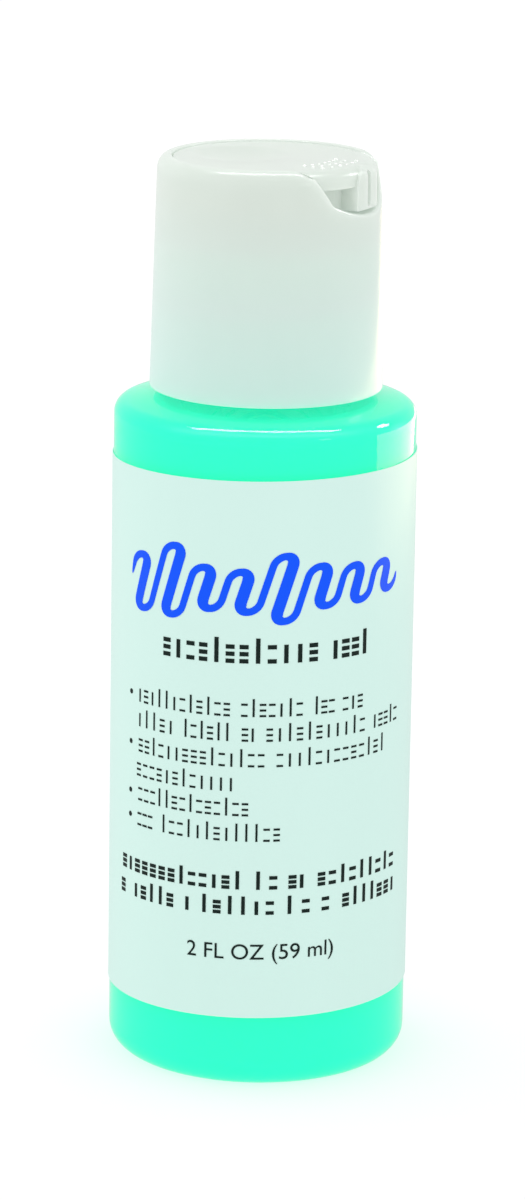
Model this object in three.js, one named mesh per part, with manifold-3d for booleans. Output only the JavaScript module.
// A two-ounce bottle of coupling gel with a press-top dispensing closure.
//
// The bottle is a thin blown shell with a domed base, a sloping shoulder and a 24-410 screw neck. Gel fills
// it to the foot of the neck, and a film label wraps its straight wall. The closure is one moulding: a
// tapered skirt that screws over the neck, a deck across it, and a well above the deck. A disc lies in the
// well on two short trunnions. Under it hangs a barrel that turns in a saddle on the deck, as a rotary
// valve does: at rest the barrel's port faces a blank wall, and when the back of the disc is pressed down
// the port swings over the deck's orifice, and the spout rises out of the opening in the rim.
//
// Millimetres, +Z up. The origin is the centre of the base, and the label's front faces -Y.

import * as THREE from "three";
import { mergeVertices } from "three/addons/utils/BufferGeometryUtils.js";
import Module from "manifold-3d";

const wasm = await Module();
wasm.setup();

// ---- Driving dimensions: bottle ----

const bottleDiameter = 34.7;
const bottleHeight = 78.8;
const bottleWall = 0.9;
const heelRadius = 4.0;
const pushUpDiameter = 22;
const pushUpHeight = 1.8;
const domeCrownRadius = 8;
const domeFootRadius = 1.5;
const shoulderRadius = 2.4;
const shoulderFall = 1.4;

// ---- Driving dimensions: neck, to the 24-410 finish ----

const neckThreadDiameter = 23.6;
const neckThreadDepth = 1.1;
const neckWall = 1.5;
const neckHeight = 17.6;
const neckFillet = 0.6;

// ---- Driving dimensions: contents and label ----

const gelRise = 0.6;
const gelClearance = 0.1;
const labelBottomMargin = 8.8;
const labelTopMargin = 5.6;
const labelThickness = 0.1;
const labelAdhesive = 0.05;
const labelGapAngle = 15;
const labelSkewAngle = 1;

// ---- Driving dimensions: closure ----

const capStandOff = 0.4;
const capWall = 1.25;
const capTaper = 0.65;
const capRimRadius = 1.5;
const rimWidth = 1.6;
const deckThickness = 1.2;
const threadClearance = 0.3;
const skirtLeadIn = 0.4;
const edgeRadius = 0.3;
const wellFloorRadius = 0.6;
const washerThickness = 0.9;
const washerClearance = 0.1;
const washerBeadHeight = 0.6;
const washerBeadDepth = 0.55;
const spoutAngle = -26;

// ---- Driving dimensions: opening in the rim ----

const notchTopWidth = 17.8;
const notchFloorWidth = 12.6;
const notchSideDepth = 4.3;
const notchDepth = 5.8;
const notchShoulderRadius = 1.2;
const notchFloorRadius = 1.2;

// ---- Driving dimensions: disc ----

const discClearance = 0.25;
const discRecess = 0.2;
const discThickness = 1.4;
const dishDiameter = 11;
const dishDepth = 0.6;
const dishOffset = 3.6;
const pivotDrop = 2.1;
const trunnionDiameter = 1.8;
const trunnionEngagement = 0.8;
const cheekThickness = 1.3;
const cheekWidth = 4.4;

// ---- Driving dimensions: valve and spout ----

const barrelDiameter = 7.6;
const barrelLength = 7;
const saddleWall = 1.4;
const saddleFloor = 1.0;
const saddleDepth = 2.3;
const orificeDiameter = 1.6;
const pressAngle = 25;
const spoutWidth = 5.0;
const spoutInset = 0.15;
const tubeWidth = 3.4;
const slotWidth = 0.9;
const slotHeight = 3.3;
const slotFloorDepth = 4.5;
const slotLength = 1.6;
const lipInset = 0.5;
const lipDepth = 2.4;
const apronThickness = 0.9;
const apronInset = 0.35;
const apronOverlap = 0.3;
const apronAngle = 64;

// ---- Fits and facets ----

const runningClearance = 0.3;
const overrun = 1;
const facetsAround = 48;
const facetsPerFillet = 3;
const facetsPerHole = 16;
const facetsPerArc = 8;

// ---- Derived places ----

// Heights of the closure count from the bottom of its skirt. Its well is as deep as the barrel and its
// saddle need, or the back of the disc when it is pressed down, if that is more.

const radians = THREE.MathUtils.degToRad;

const bottleRadius = bottleDiameter / 2;
const shoulderEdge = bottleHeight - shoulderFall;
const neckRootRadius = neckThreadDiameter / 2 - neckThreadDepth;
const neckBoreRadius = neckRootRadius - neckWall;
const neckTop = bottleHeight + neckHeight;
const labelHeight = shoulderEdge - labelTopMargin - labelBottomMargin;

const skirtBoreRadius = neckThreadDiameter / 2 + threadClearance;
const capRadius = skirtBoreRadius + capWall;
const capTopRadius = capRadius - capTaper;
const wellRadius = capTopRadius - rimWidth;
const discRadius = wellRadius - discClearance;
const barrelRadius = barrelDiameter / 2;
const seatRadius = barrelRadius + runningClearance;

const capSeat = bottleHeight + capStandOff;
const washerBottom = neckTop + washerClearance / 2;
const deckBottom = washerBottom + washerThickness + washerClearance / 2 - capSeat;
const deckTop = deckBottom + deckThickness;
const pressedDepth = discRadius * Math.sin(radians(pressAngle)) + runningClearance;
const pivotHeight = deckTop + Math.max(saddleFloor + seatRadius, pressedDepth);
const capHeight = pivotHeight + pivotDrop;
const discTop = capHeight - discRecess;
const discUnderside = discTop - discThickness;
const insidePlate = discUnderside + discThickness / 2;

// ---- Materials ----

const clearPlastic = new THREE.MeshStandardMaterial({
  color: 0xe6f6f1, roughness: 0.08, metalness: 0, transparent: true, opacity: 0.35,
});
const gel = new THREE.MeshStandardMaterial({
  color: 0x37ffc9, roughness: 0.1, metalness: 0, transparent: true, opacity: 0.85,
});
const labelFilm = new THREE.MeshStandardMaterial({ color: 0xd7f1eb, roughness: 0.35, metalness: 0 });
const whitePlastic = new THREE.MeshStandardMaterial({ color: 0xdde8e2, roughness: 0.3, metalness: 0 });
const washerFoam = new THREE.MeshStandardMaterial({ color: 0xf2f2ee, roughness: 0.8, metalness: 0 });

// ---- Shape helpers ----

// An outline from corners given as [r, z] or [r, z, fillet]. Each fillet is an arc, held to what half of
// the shorter side beside it can take.
function filleted(corners) {
  return corners.flatMap(([x, y, fillet = 0], index) => {
    const corner = new THREE.Vector2(x, y);
    if (fillet === 0) return [corner];
    const [toBefore, toAfter] = [index - 1, (index + 1) % corners.length].map((other) => {
      const [otherX, otherY] = corners.at(other);
      return new THREE.Vector2(otherX, otherY).sub(corner);
    });
    const reach = 0.48 * Math.min(toBefore.length(), toAfter.length());
    const before = toBefore.normalize();
    const after = toAfter.normalize();
    const halfAngle = Math.acos(THREE.MathUtils.clamp(before.dot(after), -1, 1)) / 2;
    const radius = Math.min(fillet, reach * Math.tan(halfAngle));
    const tangent = radius / Math.tan(halfAngle);
    const centre = before.clone().add(after).setLength(radius / Math.sin(halfAngle)).add(corner);
    const start = before.clone().multiplyScalar(tangent).add(corner).sub(centre);
    const end = after.clone().multiplyScalar(tangent).add(corner).sub(centre);
    const sweep = Math.atan2(start.cross(end), start.dot(end));
    return Array.from({ length: facetsPerFillet + 1 }, (_, step) =>
      start.clone().rotateAround(new THREE.Vector2(), (sweep * step) / facetsPerFillet).add(centre));
  });
}

// A solid turned about Z. Its azimuth starts at the front, -Y, and a ring repeats its first corner.
function revolve(corners, isRing = false) {
  const points = filleted(corners);
  if (isRing) points.push(points[0].clone());
  return new THREE.LatheGeometry(points, facetsAround).rotateX(Math.PI / 2);
}

// A plate with its outline in the XZ plane, centred on the XZ plane.
function plateAcrossY(shape, width) {
  return new THREE.ExtrudeGeometry(shape, { depth: width, bevelEnabled: false, curveSegments: facetsPerArc })
    .rotateX(Math.PI / 2)
    .translate(0, width / 2, 0);
}

// A prism along +X from `start`, with its outline in the YZ plane.
function prismAlongX(shape, start, length) {
  return new THREE.ExtrudeGeometry(shape, { depth: length, bevelEnabled: false, curveSegments: facetsPerArc })
    .rotateX(Math.PI / 2)
    .rotateZ(Math.PI / 2)
    .translate(start, 0, 0);
}

function cylinderAlongY(diameter, length, facets = facetsPerHole) {
  return new THREE.CylinderGeometry(diameter / 2, diameter / 2, length, facets);
}

// A hole or rod between two points.
function rodBetween(from, to, diameter) {
  const along = to.clone().sub(from);
  const turn = new THREE.Quaternion().setFromUnitVectors(
    new THREE.Vector3(0, 1, 0), along.clone().normalize());
  const middle = from.clone().add(to).multiplyScalar(0.5);
  return cylinderAlongY(diameter, along.length())
    .applyQuaternion(turn)
    .translate(middle.x, middle.y, middle.z);
}

// ---- Solids ----

function solid(geometry) {
  const bare = geometry.clone();
  bare.deleteAttribute("normal");
  bare.deleteAttribute("uv");
  const merged = mergeVertices(bare, 1e-5);
  const corners = merged.index.array;
  const triangles = [];
  for (let k = 0; k < corners.length; k += 3) {
    const [a, b, c] = corners.slice(k, k + 3);
    if (a !== b && b !== c && c !== a) triangles.push(a, b, c);
  }
  return new wasm.Manifold(new wasm.Mesh({
    numProp: 3,
    vertProperties: merged.attributes.position.array,
    triVerts: new Uint32Array(triangles),
  }));
}

function geometryOf(manifold) {
  const { vertProperties, triVerts } = manifold.getMesh();
  const geometry = new THREE.BufferGeometry();
  geometry.setAttribute("position", new THREE.BufferAttribute(vertProperties, 3));
  geometry.setIndex(new THREE.BufferAttribute(triVerts, 1));
  geometry.computeVertexNormals();
  return geometry;
}

function named(name, geometry, material) {
  const mesh = new THREE.Mesh(geometry, material);
  mesh.name = name;
  return mesh;
}

// ---- Bottle ----

// The corners of the bottle's inside, from the middle of the floor to the top of the neck, drawn in by a
// gap: none for the bottle itself, a little for what fills it.
function insideCorners(gap, top) {
  const inset = bottleWall + gap;
  return [
    [0, pushUpHeight + inset],
    [pushUpDiameter / 4, pushUpHeight + inset, domeCrownRadius],
    [pushUpDiameter / 2, inset, domeFootRadius + inset],
    [bottleRadius - inset, inset, heelRadius - inset],
    [bottleRadius - inset, shoulderEdge - inset, shoulderRadius],
    [neckBoreRadius - gap, bottleHeight - inset, neckFillet],
    [neckBoreRadius - gap, top],
  ];
}

function bottleShell() {
  const outside = [
    [0, pushUpHeight],
    [pushUpDiameter / 4, pushUpHeight, domeCrownRadius],
    [pushUpDiameter / 2, 0, domeFootRadius],
    [bottleRadius, 0, heelRadius],
    [bottleRadius, shoulderEdge, shoulderRadius],
    [neckRootRadius, bottleHeight, neckFillet],
    [neckRootRadius, neckTop],
  ];
  return revolve([...outside, ...insideCorners(0, neckTop).reverse()]);
}

function gelFill() {
  const surface = bottleHeight + gelRise;
  return revolve([...insideCorners(gelClearance, surface), [0, surface]]);
}

// ---- Label ----

// A sleeve with a gap at the back. It went on a little askew, so its edges climb from left to right.
function wrapLabel() {
  const inner = bottleRadius + labelAdhesive;
  const outer = inner + labelThickness;
  const wrapAngle = 360 - labelGapAngle;
  const left = radians(90 + labelGapAngle / 2);
  const right = left + radians(wrapAngle);
  const band = new THREE.Shape();
  band.absarc(0, 0, outer, left, right, false);
  band.absarc(0, 0, inner, right, left, true);
  const facets = Math.round((wrapAngle / 360) * facetsAround / 2);
  const sleeve = new THREE.ExtrudeGeometry(band, {
    depth: labelHeight, bevelEnabled: false, curveSegments: facets,
  });
  sleeve.translate(0, 0, labelBottomMargin);
  const climb = bottleRadius * Math.tan(radians(labelSkewAngle));
  const place = sleeve.attributes.position;
  for (let k = 0; k < place.count; k += 1) {
    const azimuth = Math.atan2(place.getX(k), -place.getY(k));
    place.setZ(k, place.getZ(k) + climb * azimuth);
  }
  sleeve.computeVertexNormals();
  return sleeve;
}

// ---- Sealing washer ----

function sealingWasher() {
  const inner = neckBoreRadius;
  const outer = skirtBoreRadius - runningClearance;
  const top = washerBottom + washerThickness;
  return revolve([[inner, washerBottom], [outer, washerBottom], [outer, top], [inner, top]], true);
}

// ---- Opening in the rim ----

// A bell with rounded shoulders and a bowed floor, seen along the spout. The disc's lip is cut to the same
// bell, drawn smaller by its clearance.
function notchOutline(gap = 0) {
  const slope = (notchTopWidth - notchFloorWidth) / 2 / notchSideDepth;
  const top = notchTopWidth / 2 - gap;
  const floor = notchFloorWidth / 2 - gap;
  const corner = capHeight - notchSideDepth + gap;
  const above = capHeight + overrun;
  const sagitta = notchDepth - notchSideDepth;
  const bow = Array.from({ length: 2 * facetsPerFillet + 1 }, (_, step) => {
    const across = 1 - step / facetsPerFillet;
    return [floor * across, corner - sagitta * (1 - across * across)];
  });
  bow[0].push(notchFloorRadius);
  bow.at(-1).push(notchFloorRadius);
  return new THREE.Shape(filleted([
    [-top - 2 * notchShoulderRadius, above],
    [-top - 2 * notchShoulderRadius, capHeight],
    [-top + slope * gap, capHeight, notchShoulderRadius],
    ...bow.reverse(),
    [top - slope * gap, capHeight, notchShoulderRadius],
    [top + 2 * notchShoulderRadius, capHeight],
    [top + 2 * notchShoulderRadius, above],
  ]));
}

// ---- Closure shell ----

// The cradle that the barrel turns in: a block on the deck with a round seat.
function barrelSaddle() {
  const top = pivotHeight - saddleDepth;
  const half = Math.sqrt(seatRadius ** 2 - saddleDepth ** 2);
  const edge = Math.atan2(-saddleDepth, half);
  const shape = new THREE.Shape();
  shape.moveTo(-half - saddleWall, deckTop - deckThickness / 2);
  shape.lineTo(half + saddleWall, deckTop - deckThickness / 2);
  shape.lineTo(half + saddleWall, top);
  shape.absarc(0, pivotHeight, seatRadius, edge, -Math.PI - edge, true);
  shape.lineTo(-half - saddleWall, top);
  return plateAcrossY(shape, barrelLength);
}

// The washer lies between the deck and a small bead inside the skirt, which keeps it in the cap.
function capShell() {
  const beadTop = washerBottom - washerClearance - capSeat;
  const body = solid(revolve([
    [0, deckBottom],
    [skirtBoreRadius, deckBottom, edgeRadius],
    [skirtBoreRadius, beadTop],
    [skirtBoreRadius - washerBeadDepth, beadTop - washerBeadHeight / 2],
    [skirtBoreRadius, beadTop - washerBeadHeight],
    [skirtBoreRadius, 2 * skirtLeadIn],
    [skirtBoreRadius + skirtLeadIn, 0],
    [capRadius, 0, edgeRadius],
    [capTopRadius, capHeight, capRimRadius],
    [wellRadius, capHeight, edgeRadius],
    [wellRadius, deckTop, wellFloorRadius],
    [0, deckTop],
  ]));
  const notch = solid(prismAlongX(notchOutline(), seatRadius + saddleWall, capRadius));
  const socketTip = discRadius + trunnionEngagement + runningClearance;
  const sockets = solid(cylinderAlongY(trunnionDiameter + 2 * runningClearance, 2 * socketTip)
    .translate(0, 0, pivotHeight));
  const orifice = solid(rodBetween(
    new THREE.Vector3(0, 0, deckBottom - overrun),
    new THREE.Vector3(0, 0, pivotHeight),
    orificeDiameter));
  return geometryOf(body.subtract(notch).subtract(sockets).add(solid(barrelSaddle())).subtract(orifice));
}

// ---- Disc ----

// Everything here is drawn about the closure's axis and moved down to the pivot at the end.
function topPlate() {
  const dishRadius = ((dishDiameter / 2) ** 2 + dishDepth ** 2) / (2 * dishDepth);
  const plate = solid(revolve([
    [0, discUnderside],
    [discRadius, discUnderside],
    [discRadius, discTop, edgeRadius],
    [0, discTop],
  ]));
  const dish = solid(new THREE.SphereGeometry(dishRadius, 2 * facetsAround, facetsAround)
    .translate(-dishOffset, 0, discTop + dishRadius - dishDepth));
  return plate.subtract(dish);
}

// The disc's front edge: it fills the opening in the rim and carries on the line of the skirt.
function frontLip() {
  const outer = capTopRadius - lipInset;
  const bottom = capHeight - lipDepth;
  const ring = solid(revolve([
    [discRadius - apronThickness - overrun, bottom],
    [outer, bottom, edgeRadius],
    [outer, discTop, capRimRadius],
    [discRadius - apronThickness - overrun, discTop],
  ], true));
  return ring.intersect(solid(prismAlongX(notchOutline(runningClearance), 0, capRadius)));
}

// The curved wall behind the opening, under the front edge of the disc.
function apron() {
  const outer = discRadius - apronInset;
  const inner = outer - apronThickness;
  const bottom = capHeight - notchDepth - apronOverlap;
  const half = radians(apronAngle / 2);
  const band = new THREE.Shape();
  band.absarc(0, 0, outer, -half, half, false);
  band.absarc(0, 0, inner, half, -half, true);
  return solid(new THREE.ExtrudeGeometry(band, {
    depth: insidePlate - bottom, bevelEnabled: false, curveSegments: facetsPerFillet,
  }).translate(0, 0, bottom));
}

// The arched nose of the spout, flush with the skirt, and the tube that joins it to the barrel.
function spout() {
  const bottom = capHeight - notchDepth + 2 * runningClearance;
  const half = spoutWidth / 2;
  const spring = discTop - half;
  const arch = new THREE.Shape();
  arch.moveTo(-half, bottom);
  arch.lineTo(half, bottom);
  arch.absarc(0, spring, half, 0, Math.PI, false);
  const nose = solid(prismAlongX(arch, discRadius - 2 * apronThickness, capRadius));
  const face = solid(revolve([
    [0, bottom - overrun],
    [capTopRadius - spoutInset, bottom - overrun],
    [capTopRadius - spoutInset, discTop, capRimRadius],
    [0, discTop],
  ]));
  const tubeHalf = tubeWidth / 2;
  const tubeBottom = pivotHeight - saddleDepth + runningClearance;
  const tube = solid(prismAlongX(new THREE.Shape(filleted([
    [-tubeHalf, tubeBottom, edgeRadius],
    [tubeHalf, tubeBottom, edgeRadius],
    [tubeHalf, insidePlate],
    [-tubeHalf, insidePlate],
  ])), 0, discRadius - apronThickness));
  return nose.intersect(face).add(tube);
}

// The passage: a slot in the nose, a bore back to the barrel, and a port that waits short of the orifice.
function passage() {
  const boreHeight = pivotHeight - saddleDepth / 2;
  const slotBottom = capHeight - slotFloorDepth;
  const slotTop = slotBottom + slotHeight;
  const slot = solid(prismAlongX(new THREE.Shape(filleted([
    [-slotWidth / 2, slotBottom, slotWidth / 2],
    [slotWidth / 2, slotBottom, slotWidth / 2],
    [slotWidth / 2, slotTop, slotWidth / 2],
    [-slotWidth / 2, slotTop, slotWidth / 2],
  ])), capTopRadius - slotLength, capRadius));
  const swing = radians(pressAngle);
  const bend = new THREE.Vector3(-Math.tan(swing) * (saddleDepth / 2), 0, boreHeight);
  const bore = solid(rodBetween(
    bend, new THREE.Vector3(capTopRadius - slotLength / 2, 0, boreHeight), orificeDiameter));
  const port = solid(rodBetween(
    bend,
    new THREE.Vector3(-Math.sin(swing), 0, -Math.cos(swing))
      .multiplyScalar(barrelRadius + overrun)
      .add(new THREE.Vector3(0, 0, pivotHeight)),
    orificeDiameter));
  return slot.add(bore).add(port);
}

// Cheeks under the plate's edge, with the trunnions standing out of them.
function pivotCheeks() {
  const half = cheekWidth / 2;
  const outer = discRadius - apronInset;
  const shape = new THREE.Shape();
  shape.moveTo(half, insidePlate);
  shape.lineTo(-half, insidePlate);
  shape.absarc(0, pivotHeight, half, Math.PI, 2 * Math.PI, false);
  const block = solid(plateAcrossY(shape, 2 * outer));
  const between = solid(plateAcrossY(shape, 2 * (outer - cheekThickness)).scale(2, 1, 1));
  const rod = solid(cylinderAlongY(trunnionDiameter, 2 * (discRadius + trunnionEngagement))
    .translate(0, 0, pivotHeight));
  const gap = solid(cylinderAlongY(2 * cheekWidth, 2 * (outer - cheekThickness))
    .translate(0, 0, pivotHeight));
  return block.subtract(between).add(rod.subtract(gap));
}

function discActuator() {
  const barrel = solid(cylinderAlongY(barrelDiameter, barrelLength, 2 * facetsPerHole)
    .translate(0, 0, pivotHeight));
  const below = solid(new THREE.BoxGeometry(2 * capRadius, 2 * capRadius, capHeight)
    .translate(0, 0, insidePlate - capHeight / 2));
  const disc = topPlate()
    .add(frontLip())
    .add(apron())
    .add(spout())
    .add(pivotCheeks())
    .add(barrel.intersect(below))
    .subtract(passage());
  return geometryOf(disc).translate(0, 0, -pivotHeight);
}

// ---- Assembly ----

const object = new THREE.Group();
object.add(named("bottle_shell", bottleShell(), clearPlastic));
object.add(named("gel_fill", gelFill(), gel));
object.add(named("wrap_label", wrapLabel(), labelFilm));
object.add(named("sealing_washer", sealingWasher(), washerFoam));

const closure = new THREE.Group();
closure.position.z = capSeat;
closure.rotation.z = radians(spoutAngle);
closure.add(named("cap_shell", capShell(), whitePlastic));
object.add(closure);

const disc = named("disc_actuator", discActuator(), whitePlastic);
disc.position.z = pivotHeight;
closure.add(disc);

export default object;
